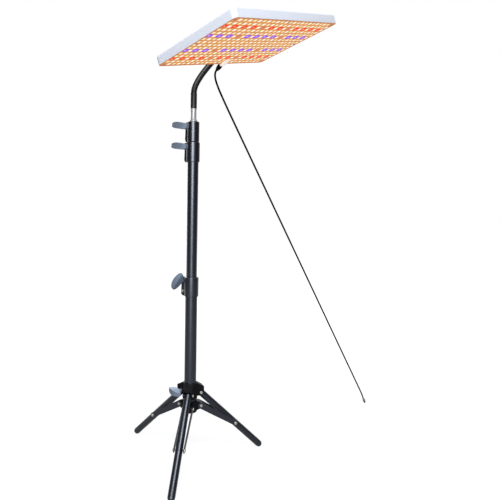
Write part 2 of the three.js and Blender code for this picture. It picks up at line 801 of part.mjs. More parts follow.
// The lowest link has a root that sits in the ferrule.
const rootTop = neckStart.z + neckRootRadius / 2;
const neckRoot = rod(neckRootRadius, ferruleTop - neckRootLength, rootTop, middleSides);
const rootLink = join(neckLinks[0], neckRoot);
piece("neck_root", rootLink.translate(0, 0, -ferruleBottom), blackPaint, neckSwivel);

// Frame of a link: its origin at the joint below it, its X axis along the hinge.
function linkFrame(name, share) {
  const group = new THREE.Group();
  group.name = name;
  const along = neckLine.getTangentAt(share);
  const hinge = jointHeading(share);
  const across = new THREE.Vector3().crossVectors(along, hinge).normalize();
  group.matrix.makeBasis(hinge, across, along);
  group.matrix.setPosition(neckLine.getPointAt(share));
  group.matrix.decompose(group.position, group.quaternion, group.scale);
  stand.add(group);
  group.updateMatrixWorld(true);
  return group;
}
for (let k = 1; k < neckLinkCount; k++) {
  const group = linkFrame(`neck_bend_${k}`, jointShare(k));
  const inverse = group.matrixWorld.clone().invert();
  piece(`neck_link_${k}`, neckLinks[k].applyMatrix4(inverse), blackPaint, group);
}

// The last link ends in a collar and a flat tongue round the bracket's pin.
// Bracket frame: its origin at the pin, X along the pin, Z along the panel's normal.
const panelNormal = new THREE.Vector3(0, 0, 1).transformDirection(panel.matrixWorld);
const pinAxis = new THREE.Vector3().crossVectors(panelNormal, neckEndHeading).normalize();
const bracketAhead = new THREE.Vector3().crossVectors(panelNormal, pinAxis);
const bracket = new THREE.Group();
bracket.name = "panel_tilt";
bracket.matrix.makeBasis(pinAxis, bracketAhead, panelNormal);
bracket.matrix.setPosition(pinPlace);
bracket.matrix.decompose(bracket.position, bracket.quaternion, bracket.scale);
stand.add(bracket);
bracket.updateMatrixWorld(true);
const approach = Math.asin(neckEndHeading.dot(panelNormal));

// In the bracket's frame the neck arrives along -Y, turned down by its approach angle.
function alongNeck(geometry) {
  return geometry.rotateX(-approach).applyMatrix4(bracket.matrixWorld);
}
const tipBack = tongueLength + tipCollarLength;
function linkAcross(round, half, reach) {
  const outline = new THREE.Shape();
  outline.absarc(0, 0, round, -Math.PI / 2, Math.PI / 2);
  outline.lineTo(-reach, round - collarEdge);
  outline.lineTo(-reach, collarEdge - round);
  outline.closePath();
  const settings = { depth: 2 * half, bevelEnabled: false, curveSegments: 2 * cornerSides };
  const flat = new THREE.ExtrudeGeometry(outline, settings).translate(0, 0, -half);
  return flat.rotateX(Math.PI / 2).rotateZ(-Math.PI / 2);
}
const tipTongue = linkAcross(tongueEndRound, tongueThickness / 2, tongueLength + overrun);
const tipCollar = rodY(tipCollarRadius, tongueLength, tipBack + overrun, neckSides);
const lastLink = linkFrame(`neck_bend_${neckLinkCount}`, jointShare(neckLinkCount));
const tip = join(
  neckLinks[neckLinkCount],
  alongNeck(cut(
    join(tipTongue, tipCollar),
    rodX(tiltPinRadius + seatGap, -tongueThickness, tongueThickness),
  )),
);
piece("neck_tip", tip.applyMatrix4(lastLink.matrixWorld.clone().invert()), blackPaint, lastLink);

// Bracket on the panel's back: a turning plate with two ears, and a pin through them
const earInner = tongueThickness / 2 + slideGap;
const earOuter = earInner + bracketEarThickness;
const earOutline = new THREE.Shape();
earOutline.absarc(0, 0, bracketEarRound, 0, Math.PI);
earOutline.lineTo(-bracketEarRound - collarEdge, turntableThickness / 2 - bracketPinHeight);
earOutline.lineTo(bracketEarRound + collarEdge, turntableThickness / 2 - bracketPinHeight);
earOutline.closePath();
const bracketEars = [-1, 1].map((side) =>
  slab(earOutline, side > 0 ? earInner : -earOuter, side > 0 ? earOuter : -earInner).rotateZ(Math.PI / 2));
const plate = turned([
  [0, -bracketPinHeight],
  [turntableRadius, -bracketPinHeight],
  [turntableRadius, turntableThickness - collarEdge - bracketPinHeight],
  [turntableRadius - collarEdge, turntableThickness - bracketPinHeight],
  [0, turntableThickness - bracketPinHeight],
]);
piece("panel_bracket", cut(
  join(plate, ...bracketEars),
  rodX(tiltPinRadius + seatGap, -earOuter - overrun, earOuter + overrun),
), blackPlastic, bracket);
const headFrom = earOuter + seatGap;
piece("tilt_pin", join(
  rodX(tiltPinRadius, -headFrom - tiltHeadThickness / 2, headFrom + tiltHeadThickness / 2),
  rodX(tiltHeadRadius, headFrom, headFrom + tiltHeadThickness),
  rodX(tiltHeadRadius, -headFrom - tiltHeadThickness, -headFrom, nutSides),
), brightMetal, bracket);

// Panel housing: a shallow tray, open towards the plants, with its bracket boss on the back
const halfLength = panelLength / 2;
const halfWidth = panelWidth / 2;
const trayOutline = roundedRectangle(
  halfLength - panelEdge,
  halfWidth - panelEdge,
  panelCorner - panelEdge,
);
const tray = new THREE.ExtrudeGeometry(trayOutline, {
  depth: panelDepth,
  bevelThickness: panelEdge,
  bevelSize: panelEdge,
  bevelSegments: 2,
  curveSegments: cornerSides,
}).translate(0, 0, -panelEdge);
const farSide = [halfLength + overrun, halfWidth + overrun];
const pocketOutline = roundedRectangle(
  halfLength - panelWall,
  halfWidth - panelWall,
  panelCorner - panelWall,
);
const pocket = new THREE.ExtrudeGeometry(pocketOutline, {
  depth: panelDepth - panelWall + overrun,
  bevelEnabled: false,
  curveSegments: cornerSides,
}).translate(0, 0, -overrun);
const inletHalf = inletWidth / 2;
const inletTop = inletHeight - inletDrop;
piece("panel_housing", cut(
  join(tray, rod(bossRadius, panelDepth - panelWall / 2, panelDepth + bossHeight)),
  block([-farSide[0], -farSide[1], -panelDepth], [farSide[0], farSide[1], 0]),
  pocket,
  block(
    [inletPlace - inletHalf - seatGap, halfWidth - 2 * panelWall, -overrun],
    [inletPlace + inletHalf + seatGap, farSide[1], inletTop + seatGap],
  ),
), whitePlastic, panel);

// LED board, seated just inside the tray's rim, with the screws that hold it
const boardOutline = roundedRectangle(
  halfLength - panelWall - seatGap,
  halfWidth - panelWall - seatGap,
  panelCorner - panelWall - seatGap,
);
const inletBack = halfWidth - inletInside;
const screwX = halfLength - screwInset;
const screwY = halfWidth - screwInset;
const screwPlaces = [
  [-screwX, -screwY], [0, -screwY], [screwX, -screwY], [screwX, 0],
  [screwX, screwY], [0, screwY], [-screwX, screwY], [-screwX, 0],
];
const screwHeads = screwPlaces.map(([x, y]) => turned([
  [0, boardRecess - screwHeadHeight],
  [screwHeadRadius / 2, boardRecess - screwHeadHeight],
  [screwHeadRadius, boardRecess - screwHeadHeight / 2],
  [screwHeadRadius, boardRecess + boardThickness / 2],
  [0, boardRecess + boardThickness / 2],
], smallSides).translate(x, y, 0));
piece("led_board", cut(
  join(
    new THREE.ExtrudeGeometry(boardOutline, {
      depth: boardThickness,
      bevelEnabled: false,
      curveSegments: cornerSides,
    }).translate(0, 0, boardRecess),
    ...screwHeads,
  ),
  block(
    [inletPlace - inletHalf - seatGap, inletBack - seatGap, boardRecess - overrun],
    [inletPlace + inletHalf + seatGap, farSide[1], boardRecess + overrun],
  ),
), litBoard, panel);

// White inlet that takes the cord's connector, through the rim of the tray
const inletOutline = new THREE.Shape();
inletOutline.moveTo(inletBack, 0);
inletOutline.lineTo(halfWidth - inletDrop, -inletDrop);
inletOutline.lineTo(halfWidth + inletOutside, -inletDrop);
inletOutline.lineTo(halfWidth + inletOutside, inletTop);
inletOutline.lineTo(inletBack, inletTop);
inletOutline.closePath();
piece(
  "inlet_socket",
  slab(inletOutline, -inletHalf, inletHalf).rotateZ(Math.PI / 2).translate(inletPlace, 0, 0),
  whitePlastic,
  panel,
);

// Cord connector: a tapered strain relief with rings, plugged into the inlet at an angle
const connectorTilt = degrees(connectorDrop);
const connectorStart = seatGap + connectorRadius * Math.tan(connectorTilt);
const connector = frameAt("cord_connector_seat", panel, inletPlace, halfWidth + inletOutside, 0);
connector.rotation.x = -connectorTilt;
const ringCount = Math.floor((connectorLength - 2 * connectorRing) / (2 * connectorRing));
const connectorProfile = [[0, connectorStart], [connectorRadius, connectorStart]];
for (let k = 1; k <= ringCount; k++) {
  const z = 2 * k * connectorRing;
  const radius = THREE.MathUtils.lerp(connectorRadius, connectorTipRadius, z / connectorLength);
  connectorProfile.push([radius, z], [radius - connectorGroove, z], [radius - connectorGroove, z + connectorRing]);
  connectorProfile.push([radius, z + connectorRing]);
}
connectorProfile.push([connectorTipRadius, connectorLength], [0, connectorLength]);
piece("cord_connector", turned(connectorProfile, smallSides).rotateX(-Math.PI / 2), blackRubber, connector);

// Cord: from the connector in a short bend, then straight down to the floor, where its plug lies.
// The points are hand-chosen, along the middle of the cord, for a ferrule whose top is at
// cordLaidFor. For a taller or shorter column each point moves up or down with its own height.
const cordPoints = [
  [38.9, 3.5, 730.5], [37.4, 6.0, 728.6], [36.7, 8.6, 726.4], [36.6, 11.2, 724.0],
  [37.0, 13.7, 721.6], [37.8, 16.4, 718.7], [39.2, 19.4, 715.1], [41.4, 22.8, 710.5],
  [44.6, 26.8, 704.4], [49.5, 31.7, 695.8], [56.0, 37.0, 684.6], [63.1, 41.9, 672.4],
  [71.1, 47.7, 659.0], [111.3, 76.8, 592.2], [183.7, 129.2, 471.9], [264.1, 187.5, 338.2],
  [344.4, 245.7, 204.5], [416.8, 298.1, 84.2], [446.9, 319.9, 34.1], [455.0, 325.7, 20.7],
  [459.6, 328.2, 12.5], [461.9, 326.9, 6.9], [462.0, 322.2, 4.2], [461.2, 316.5, 3.8],
  [460.3, 311.9, 3.8],
].map(([x, y, z]) => new THREE.Vector3(x, y, z + ((ferruleTop - cordLaidFor) * z) / cordLaidFor));
const plugPlace = [460.24, 311.6, 3.8];
const plugHeading = -101.5;

// A curve through points whose steps follow the points, so they are close where it bends.
class StepwiseCurve extends THREE.CatmullRomCurve3 {
  getPointAt(share, target) {
    return this.getPoint(share, target);
  }

  getTangentAt(share, target) {
    return this.getTangent(share, target);
  }
}
const cordSteps = cordStepsEach * (cordPoints.length - 1);
const cordLead = tubeAlong(new StepwiseCurve(cordPoints), cordRadius, cordSteps, cordSides);
piece("cord_lead", cordLead, blackRubber, stand);
const plugSeat = frameAt("cord_plug_seat", stand, ...plugPlace, plugHeading);
piece("cord_plug", turned([
  [0, 0],
  [plugRadius - plugTaper, 0],
  [plugRadius, plugTipLength],
  [plugRadius, plugLength - plugTipLength],
  [plugTipRadius, plugLength - plugTipLength],
  [plugTipRadius, plugLength],
  [0, plugLength],
], smallSides).rotateY(Math.PI / 2), blackRubber, plugSeat);

// Put the origin under the middle of the object, on the floor
light.updateMatrixWorld(true);
const bounds = new THREE.Box3();
light.traverse((item) => {
  if (item.isMesh && !item.name.startsWith("cord_")) bounds.expandByObject(item, true);
});
const middle = bounds.getCenter(new THREE.Vector3());
stand.position.set(-middle.x, -middle.y, -bounds.min.z);

export default light;
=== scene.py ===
# %% [markdown]
# # A plant grow light on a folding stand
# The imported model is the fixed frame: every tube, clamp, leg and hinge is already in place,
# in metres, with +Z up. This lesson dresses it. Most pieces keep their solid and get rounded
# edges and a finish. The gooseneck's sleeve, the cord, the LEDs and some small fittings are
# built here in full, because they bend, or have more faces than a solid should carry.

# %% Load the frame
import bisect
import json
import math

import bmesh
import bpy
from mathutils import Matrix, Vector


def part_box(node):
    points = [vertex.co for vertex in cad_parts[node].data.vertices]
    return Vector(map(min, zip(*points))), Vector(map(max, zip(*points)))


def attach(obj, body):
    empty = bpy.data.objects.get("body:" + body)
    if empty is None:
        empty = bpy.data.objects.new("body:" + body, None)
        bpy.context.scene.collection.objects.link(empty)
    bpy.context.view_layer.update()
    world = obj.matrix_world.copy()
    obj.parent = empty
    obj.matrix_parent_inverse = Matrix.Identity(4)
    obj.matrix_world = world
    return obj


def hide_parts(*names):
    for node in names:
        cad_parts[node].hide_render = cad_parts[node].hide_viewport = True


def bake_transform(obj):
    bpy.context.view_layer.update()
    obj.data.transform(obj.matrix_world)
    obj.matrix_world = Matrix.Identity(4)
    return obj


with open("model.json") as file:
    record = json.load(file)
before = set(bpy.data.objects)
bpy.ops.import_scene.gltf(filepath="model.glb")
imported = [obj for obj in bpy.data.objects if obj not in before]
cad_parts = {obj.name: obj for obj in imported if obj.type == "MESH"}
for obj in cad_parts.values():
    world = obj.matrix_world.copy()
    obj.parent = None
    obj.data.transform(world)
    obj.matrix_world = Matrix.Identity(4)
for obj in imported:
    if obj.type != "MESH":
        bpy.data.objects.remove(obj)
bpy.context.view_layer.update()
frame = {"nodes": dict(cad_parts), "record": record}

# %% [markdown]
# ## Millimetres from the column
# A maker notes a stand's measures in millimetres from the foot of its column. They could be
# typed in the frame's own metres instead, but the column doesn't stand at the frame's origin,
# and every number would hide that offset. So the column's axis is read from its lowest tube,
# and one function turns a place into the frame's metres.

# %% Places in the frame
metre = 1000  # in millimetres
low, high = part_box("lower_tube")
column = Vector(((low.x + high.x) / 2, (low.y + high.y) / 2, 0.0))


def at(x, y, z):
    """A place in millimetres from the column's foot, as a point in the frame."""
    return Vector((x, y, z)) / metre + column


print("column axis at", [round(v, 4) for v in column])

# %% [markdown]
# ## The camera
# The camera stands a little under a metre in front of the column and looks slightly down.
# Its place could be found by eye, but a lamp this tall shows every degree of tilt. So the
# lens, the height and the tilt were worked out from the feet, the column and the panel's
# corners. The picture was cut from a wider one, and the shift puts its optical centre back
# where it belongs.

# %% Camera
camera_height, camera_distance = 502.3, 910.6  # in millimetres
camera_tilt, camera_roll = 0.2076, 0.0128  # in radians, the tilt below the horizon
picture = 500  # pixels on each side
focal_pixels = 489.26
optical_centre = (191.14, 307.4)  # in pixels from the picture's top left corner

camera_data = bpy.data.cameras.new("camera")
camera_data.sensor_width = 36
camera_data.lens = focal_pixels / picture * camera_data.sensor_width
camera_data.shift_x = 0.5 - optical_centre[0] / picture
camera_data.shift_y = optical_centre[1] / picture - 0.5
camera_data.clip_start = 0.05
camera = bpy.data.objects.new("camera", camera_data)
bpy.context.collection.objects.link(camera)
camera.matrix_world = (
    Matrix.Translation(at(0, -camera_distance, camera_height))
    @ Matrix.Rotation(math.pi / 2 - camera_tilt, 4, "X")
    @ Matrix.Rotation(camera_roll, 4, "Z")
)
bpy.context.scene.camera = camera
print("lens", round(camera_data.lens, 2), "mm")

# %% [markdown]
# ## Colours and nodes
# Paint and plastic colours are noted as sRGB hex values, the way a screen shows them. A shader
# works in linear light, so one function converts them. The nodes could be wired one by one for
# every material, as by hand. Here one function adds any node with its settings and links, and
# another starts a material from its Principled shader, so each finish reads as a short recipe.


# %% Helpers for materials
def linear(code):
    """An sRGB hex colour in linear light, with full opacity."""
    channels = [int(code[i : i + 2], 16) / 255 for i in (1, 3, 5)]
    light = (c / 12.92 if c <= 0.04045 else ((c + 0.055) / 1.055) ** 2.4 for c in channels)
    return (*light, 1.0)


def add(tree, kind, settings=None, **links):
    """A new node. Settings are its options or input values, links are sources by input."""
    node = tree.nodes.new(kind)
    for key, value in (settings or {}).items():
        if hasattr(node, key):
            setattr(node, key, value)
        else:
            node.inputs[key].default_value = value
    for key, source in links.items():
        tree.links.new(source, node.inputs[key.replace("_", " ")])
    return node


def surface(name, **settings):
    """A material with its Principled shader, set on the shader's own sockets."""
    material = bpy.data.materials.new(name)
    material.use_nodes = True
    tree = material.node_tree
    shader = tree.nodes["Principled BSDF"]
    for key, value in settings.items():
        shader.inputs[key.replace("_", " ")].default_value = value
    return material, tree, shader


print("mid grey in linear light:", round(linear("#808080")[0], 3))

# %% [markdown]
# ## Grain and wear
# Two recipes return on nearly every piece. A moulded, coated or cast skin has a grain, which is
# a bump too low to change the outline. It also shines a little unevenly, where it was handled
# or where the mould was worn. Pictures of the real skin could give both, but they would have to
# be wrapped round every piece. Noise in the piece's own coordinates needs no wrapping, sticks
# to the piece when a joint moves, and takes its size in real millimetres.


# %% Grain and wear
def mottle(tree, size_mm, detail):
    """Noise whose patches are about as wide as size_mm on the real piece."""
    piece = add(tree, "ShaderNodeTexCoord")
    noise = add(
        tree,
        "ShaderNodeTexNoise",
        {"Scale": metre / size_mm, "Detail": detail},
        Vector=piece.outputs["Object"],
    )
    return noise.outputs["Fac"]


def grain(tree, shader, size_mm, height_mm):
    """Bump of an even grain, with the grain's real size and height."""
    bump = add(
        tree,
        "ShaderNodeBump",
        {"Distance": height_mm / metre, "Strength": 0.6},
        Height=mottle(tree, size_mm, 2.0),
    )
    tree.links.new(bump.outputs["Normal"], shader.inputs["Normal"])


def worn_roughness(tree, shader, size_mm, low_rough, high_rough):
    """Roughness that drifts over the piece, as handling and the mould leave it."""
    spread = add(
        tree,
        "ShaderNodeMapRange",
        {"To Min": low_rough, "To Max": high_rough},
        Value=mottle(tree, size_mm, 3.0),
    )
    tree.links.new(spread.outputs["Result"], shader.inputs["Roughness"])


print("one millimetre of grain is noise of scale", metre)

# %% [markdown]
# ## Black stand finishes
# The tubes, legs and strips are thin steel with a satin powder coat. The powder melts into a
# skin with a faint orange peel, about a millimetre across. One glossy layer could stand for it,
# but its line of light comes out either too dim or too sharp. So a base that mirrors fully lies
# under a coat, as the pigmented body lies under the powder's clear skin, and both blur the
# softbox into one broad, even line.
#
# The collars come from polished moulds and shine the same. The two hubs hold glass fibre for
# strength. Its ends reach the surface, which leaves the hubs duller and darker than the tubes.

# %% Powder coat and nylon
# The mirror light of these blacks looks bluish beside their body, so it carries a tint
satin = {
    "Specular_IOR_Level": 1.0,
    "Specular_Tint": linear("#e5efff"),
    "Coat_Weight": 0.95,
    "Coat_Roughness": 0.29,
}
# Powder coat on steel: a deep blue-black body under one broad, soft line of light
powder_coat, tree, shader = surface(
    "powder_coated_steel", Base_Color=linear("#12141f"), Roughness=0.32, IOR=1.5, **satin
)
grain(tree, shader, 1.1, 0.006)
worn_roughness(tree, shader, 40, 0.29, 0.35)

# Nylon from a polished mould: the paint's depth and shine, with a finer skin
nylon, tree, shader = surface(
    "moulded_nylon", Base_Color=linear("#11121b"), Roughness=0.32, IOR=1.53, **satin
)
grain(tree, shader, 0.8, 0.006)
worn_roughness(tree, shader, 18, 0.29, 0.35)

# Glass-filled nylon: nearly matt, because the fibre ends scatter its mirror light
hub_nylon, tree, shader = surface(
    "glass_filled_nylon",
    Base_Color=linear("#0b0b0f"),
    Roughness=0.45,
    IOR=1.53,
    Specular_IOR_Level=0.22,
)
grain(tree, shader, 0.8, 0.03)
worn_roughness(tree, shader, 14, 0.38, 0.52)
print("black finishes:", powder_coat.name, nylon.name, hub_nylon.name)

# %% [markdown]
# ## Metals
# The wing knobs are zinc, cast in a steel die and left bare. The rivets are steel with a bright
# zinc plate, and the board's screws are plated with nickel.
#
# Bare metal could be drawn fully metallic, but then it only mirrors this white room and its own
# tone is lost. Zinc and plated steel carry a thin oxide that scatters light as paint does, so
# they are part metal, part body colour. All keep the shader's usual index of refraction.

# %% Cast zinc and plated steel
# Die-cast zinc: blue-grey and soft, with the shallow ripple of a skin that froze in the die
cast_zinc, tree, shader = surface(
    "die_cast_zinc", Base_Color=linear("#98a7bb"), Metallic=0.5, Roughness=0.45
)
grain(tree, shader, 2.6, 0.1)
worn_roughness(tree, shader, 6, 0.42, 0.6)

# Zinc-plated steel: small, warm, bright dots against the black strips
plated_steel, tree, shader = surface(
    "zinc_plated_steel", Base_Color=linear("#d6d4c8"), Metallic=0.6, Roughness=0.4
)
grain(tree, shader, 1.5, 0.02)

# Nickel-plated steel: greyer than the rivets, dulled by the driver's slips
screw_steel, tree, shader = surface(
    "nickel_plated_steel", Base_Color=linear("#c6c8cc"), Metallic=0.3, Roughness=0.5
)
worn_roughness(tree, shader, 2, 0.35, 0.55)
print("metals:", cast_zinc.name, plated_steel.name, screw_steel.name)

# %% [markdown]
# ## The turned spigot
# The spigot was turned on a lathe, and the tool left marks round it, about 0.3 mm apart. Grooves
# could be cut into the solid, but a solid from the frame keeps its shape. So a wave texture that
# runs up the spigot raises the surface as a bump. It is drawn twelve times as coarse as the real
# marks, because finer rings don't show at this distance.

# %% Turned aluminium
# Turned aluminium: a white core between grey sides, crossed by rings
ring_pitch = 3.77  # in millimetres
turned_aluminium, tree, shader = surface(
    "turned_aluminium", Base_Color=linear("#d3d4d8"), Metallic=0.6, Roughness=0.5
)
piece = add(tree, "ShaderNodeTexCoord")
rings = add(
    tree,
    "ShaderNodeTexWave",
    {
        "wave_type": "BANDS",
        "bands_direction": "Z",
        # At scale 1 the node draws a band every pi / 10 metres
        "Scale": metre / ring_pitch * math.pi / 10,
        "Distortion": 0.4,
    },
    Vector=piece.outputs["Object"],
)
bump = add(
    tree,
    "ShaderNodeBump",
    {"Distance": 0.02 / metre, "Strength": 0.5},
    Height=rings.outputs["Fac"],
)
tree.links.new(bump.outputs["Normal"], shader.inputs["Normal"])
print("rings on the spigot every", ring_pitch, "mm")

# %% [markdown]
# ## Rubber, cord jacket and the neck's skin
# The feet are rubber caps, pushed over the legs' ends. The cord has a soft PVC jacket, and the
# gooseneck is a wound steel tube under a smooth black sleeve. One black could serve for all
# three, but the eye tells them apart by how much light they mirror. So each gets its own
# specular level and roughness.

# %% Rubber, PVC and neck sleeve
# Rubber from a polished mould: it carries the legs' line of light on to the floor
rubber, tree, shader = surface(
    "moulded_rubber", Base_Color=linear("#14161d"), Roughness=0.36, IOR=1.52, **satin
)
grain(tree, shader, 0.9, 0.01)

# PVC jacket: a plain black line, since its soft skin mirrors next to nothing
pvc, tree, shader = surface(
    "pvc_cord_jacket",
    Base_Color=linear("#08080a"),
    Roughness=0.42,
    IOR=1.53,
    Specular_IOR_Level=0.12,
)
grain(tree, shader, 1.2, 0.015)

# Neck sleeve: black with one soft grey band, where the smooth skin mirrors the softbox
sleeve, tree, shader = surface(
    "gooseneck_sleeve",
    Base_Color=linear("#08080a"),
    Roughness=0.46,
    IOR=1.5,
    Specular_IOR_Level=0.75,
)
grain(tree, shader, 1.6, 0.004)
print("soft finishes:", rubber.name, pvc.name, sleeve.name)

# %% [markdown]
# ## Tray and inlet
# The tray is pressed aluminium under a white coat, very slightly blue. Its walls face four ways,
# and what the eye reads is the difference between them. So the lamps stay low enough that none
# of them turns plain white, and the coat mirrors little. The inlet is a block of white nylon. It
# could share the tray's coat, but the LEDs beside it shine into it. So it has a finish of its
# own, whose painted glow stands for that light.

# %% Tray and inlet
# White coated aluminium: even and cool, with next to no gloss
tray_white, tree, shader = surface(
    "white_coated_aluminium",
    Base_Color=linear("#e6e9f3"),
    Roughness=0.45,
    IOR=1.5,
    Specular_IOR_Level=0.3,
)
grain(tree, shader, 1.0, 0.004)

# White nylon, painted glow of the LEDs' light: warmer and brighter than the tray around it
inlet_painted_glow, tree, shader = surface(
    "white_nylon_painted_glow",
    Base_Color=linear("#f0ece8"),
    Roughness=0.4,
    IOR=1.53,
    Specular_IOR_Level=0.4,
    Emission_Color=linear("#fff0e6"),
    Emission_Strength=0.6,
)
# Its glow is painted light from the LEDs beside it
inlet_painted_glow.cycles.emission_sampling = "NONE"
grain(tree, shader, 1.0, 0.02)
print("panel finishes:", tray_white.name, inlet_painted_glow.name)

# %% [markdown]
# ## LED light
# The board is lit so brightly that its own colour is lost: warm light scattered in its white
# mask looks orange, and each LED shows three shades. Its case glows like the board, the resin
# in its window spreads the LED's colour, and over the die that colour burns out to nearly
# white. Hundreds of real lamps could light the scene that way, but they would only add noise.
# So every shade is a surface that is seen to glow at strength 1, where a colour renders as it
# is written. The glow is mottled by a sixth or so, as no two dice are equally bright.


# %% LED light
def glowing(name, code, uneven=0.0, size_mm=4.0):
    """An emitter in one colour, mottled by a share of its brightness."""
    # Its own colour is nearly black, so that the lamps can't wash out its light
    material, tree, shader = surface(
        name,
        Base_Color=linear("#0c0806"),
        Roughness=0.5,
        Specular_IOR_Level=0.05,
        Emission_Color=linear(code),
        Emission_Strength=1.0,
    )
    material.cycles.emission_sampling = "NONE"
    if uneven:
        tint = add(tree, "ShaderNodeValToRGB", None, Fac=mottle(tree, size_mm, 2.0))
        dark, full = tint.color_ramp.elements
        # Noise seldom leaves its middle third, so the ramp spans only that
        dark.position, full.position = 0.35, 0.65
        dark.color = (*(c * (1 - uneven) for c in linear(code)[:3]), 1.0)
        full.color = linear(code)
        tree.links.new(tint.outputs["Color"], shader.inputs["Emission Color"])
    return material


print("helper for light that is seen:", glowing.__name__)

# %% [markdown]
# ## Shades of the lit board
# The shades could be worked out from each LED's colour temperature or wavelength. But so close
# to a lit board the eye sees mostly scattered light, which pulls every colour towards orange,
# and a lit die is too bright to have a colour at all. So the shades are the ones that a lit
# board shows, from the mask between the LEDs to the die in their middle.

# %% Shades of the board and the LEDs
# White solder mask, painted with the LEDs' scattered light: an even orange glow between the LEDs
board_glow = glowing("lit_led_board", "#e4965c", 0.14, 7.0)
# Moulded LED case: a darker orange glow, painted shade on the cases' sides, which sets the LEDs
# apart
shaded_case_glow = glowing("led_case_shaded_glow", "#cf7a3c", 0.15)
# Resin window: the LED's own colour
spread_light = {
    "cool": glowing("cool_led_spread", "#ffe2a8", 0.12),
    "warm": glowing("warm_led_spread", "#f8cd84", 0.15),
    "red": glowing("red_led_spread", "#ff330c", 0.12),
    "violet": glowing("violet_led_spread", "#944aff", 0.15),
    "dim": glowing("far_red_led_spread", "#dd8058", 0.15),
}
# Lit die: the same colour burnt out to nearly white
core_light = {
    "cool": glowing("cool_led_core", "#fffaf2"),
    "warm": glowing("warm_led_core", "#fff6cc"),
    "red": glowing("red_led_core", "#fff0e6"),
    "violet": glowing("violet_led_core", "#dcd4ff"),
    "dim": glowing("far_red_led_core", "#f07a94"),
}
print("materials:", len(bpy.data.materials))

# %% [markdown]
# ## Which finish goes where
# Every solid is made of something, and the record names its material slot. The solids could be
# given their finishes one by one, but fifty-six such lines would hide the idea. So one table
# gives the finish of each slot. A short one names the hubs and the inlet, which differ within
# theirs. A third gives the width of the rounded edges: a quarter of a millimetre on painted
# steel, and up to one on a casting.

# %% Finish and edge of each slot
finish_of_slot = {
    "black_paint": powder_coat,
    "black_plastic": nylon,
    "neck_black": sleeve,
    "cast_metal": cast_zinc,
    "bright_steel": plated_steel,
    "spun_aluminium": turned_aluminium,
    "panel_white": tray_white,
    "led_board": board_glow,
    "black_rubber": rubber,
}
finish_of_node = {"leg_hub": hub_nylon, "brace_hub": hub_nylon, "inlet_socket": inlet_painted_glow}
edge_of_slot = {
    "black_paint": 0.25,
    "black_plastic": 0.5,
    "neck_black": 0.3,
    "cast_metal": 1.0,
    "bright_steel": 0.3,
    "spun_aluminium": 0.25,
    "panel_white": 0.6,
    "led_board": 0.0,
    "black_rubber": 0.4,
}
slot_of_node = {part["node"]: part["material_slot"] for part in frame["record"]["subparts"]}
print("slots in use:", len(set(slot_of_node.values())))

# %% [markdown]
# ## Rounded edges
# No real edge is perfectly sharp: a mould, a file or a coat of paint rounds it, and the rounded
# edge catches a line of light. The solids could be modelled again with round edges, but a solid
# from the frame keeps its shape. It may carry modifiers, though. Weld joins a solid's faces and
# Bevel rounds its edges. Weighted Normal then lets the large faces decide the shading, so that
# flats look flat and a highlight runs evenly down a tube.

# %% Dress a node
sharpest_smooth_edge = math.radians(50)  # a tube's facets stay below this, and aren't bevelled


def dress(node):
    """Give a solid its finish, its rounded edges and its even shading."""
    piece = frame["nodes"][node]
    slot = slot_of_node[node]
    piece.data.materials.clear()
    piece.data.materials.append(finish_of_node.get(node) or finish_of_slot[slot])
    # The pack's own normals would override the modifier's
    if "custom_normal" in piece.data.attributes:
        piece.data.attributes.remove(piece.data.attributes["custom_normal"])
    for face in piece.data.polygons:
        face.use_smooth = True
    weld = piece.modifiers.new("weld", "WELD")
    weld.merge_threshold = 0.02 / metre
    if edge_of_slot[slot]:
        bevel = piece.modifiers.new("edge", "BEVEL")
        bevel.limit_method = "ANGLE"
        bevel.angle_limit = sharpest_smooth_edge
        bevel.width = edge_of_slot[slot] / metre
        bevel.segments = 2
        bevel.use_clamp_overlap = True
    shading = piece.modifiers.new("shading", "WEIGHTED_NORMAL")
    shading.mode = "FACE_AREA_WITH_ANGLE"
    shading.weight = 50


for node in frame["nodes"]:
    dress(node)
print("dressed", len(frame["nodes"]), "solids")


# %% [markdown]
# ## Tubes along a line
# The neck's sleeve and the cord's boot are round and follow a line in space. A curve object
# with a round bevel could draw both, but the sleeve has to bend with the joints inside it, and
# the boot changes its thickness in steps. So they are meshes, with one ring of points for each
# step of the line. Each ring is turned as little as possible from the one before, which keeps
# the tube from twisting.


# %% Tube helper
def new_piece(name, mesh, materials, slot):
    """An object in the scene from a finished bmesh."""
    data = bpy.data.meshes.new(name)
    mesh.normal_update()
    mesh.to_mesh(data)
    mesh.free()
    for material in materials:
        data.materials.append(material)
    piece = bpy.data.objects.new(name, data)
    bpy.context.collection.objects.link(piece)
    return piece


def tube(line, radii, sides, ends=True):
    """A round tube along a line of points, with a radius for each of them."""
    mesh = bmesh.new()
    hoops = []
    normal = Vector((0, 1, 0))
    for i, (point, radius) in enumerate(zip(line, radii)):
        ahead = (line[min(i + 1, len(line) - 1)] - line[max(i - 1, 0)]).normalized()
        normal = (normal - ahead * normal.dot(ahead)).normalized()
        side = ahead.cross(normal)
        turns = [2 * math.pi * k / sides for k in range(sides)]
        hoops.append(
            [
                mesh.verts.new(point + (normal * math.cos(a) + side * math.sin(a)) * radius)
                for a in turns
            ]
        )
    for a, b in zip(hoops, hoops[1:]):
        for k in range(sides):
            after = (k + 1) % sides
            mesh.faces.new((a[k], a[after], b[after], b[k])).smooth = True
    if ends:
        mesh.faces.new(list(reversed(hoops[0])))
        mesh.faces.new(hoops[-1])
    return mesh


print("helpers for pieces:", new_piece.__name__, tube.__name__)

# %% [markdown]
# ## The panel's own frame
# The panel hangs turned about all three axes. Its LEDs, screws and cord could be placed in the
# room's directions, but nobody measures a tilted board that way. So a matrix holds its place
# and its turns, and everything on it is noted along its own length, width and thickness.

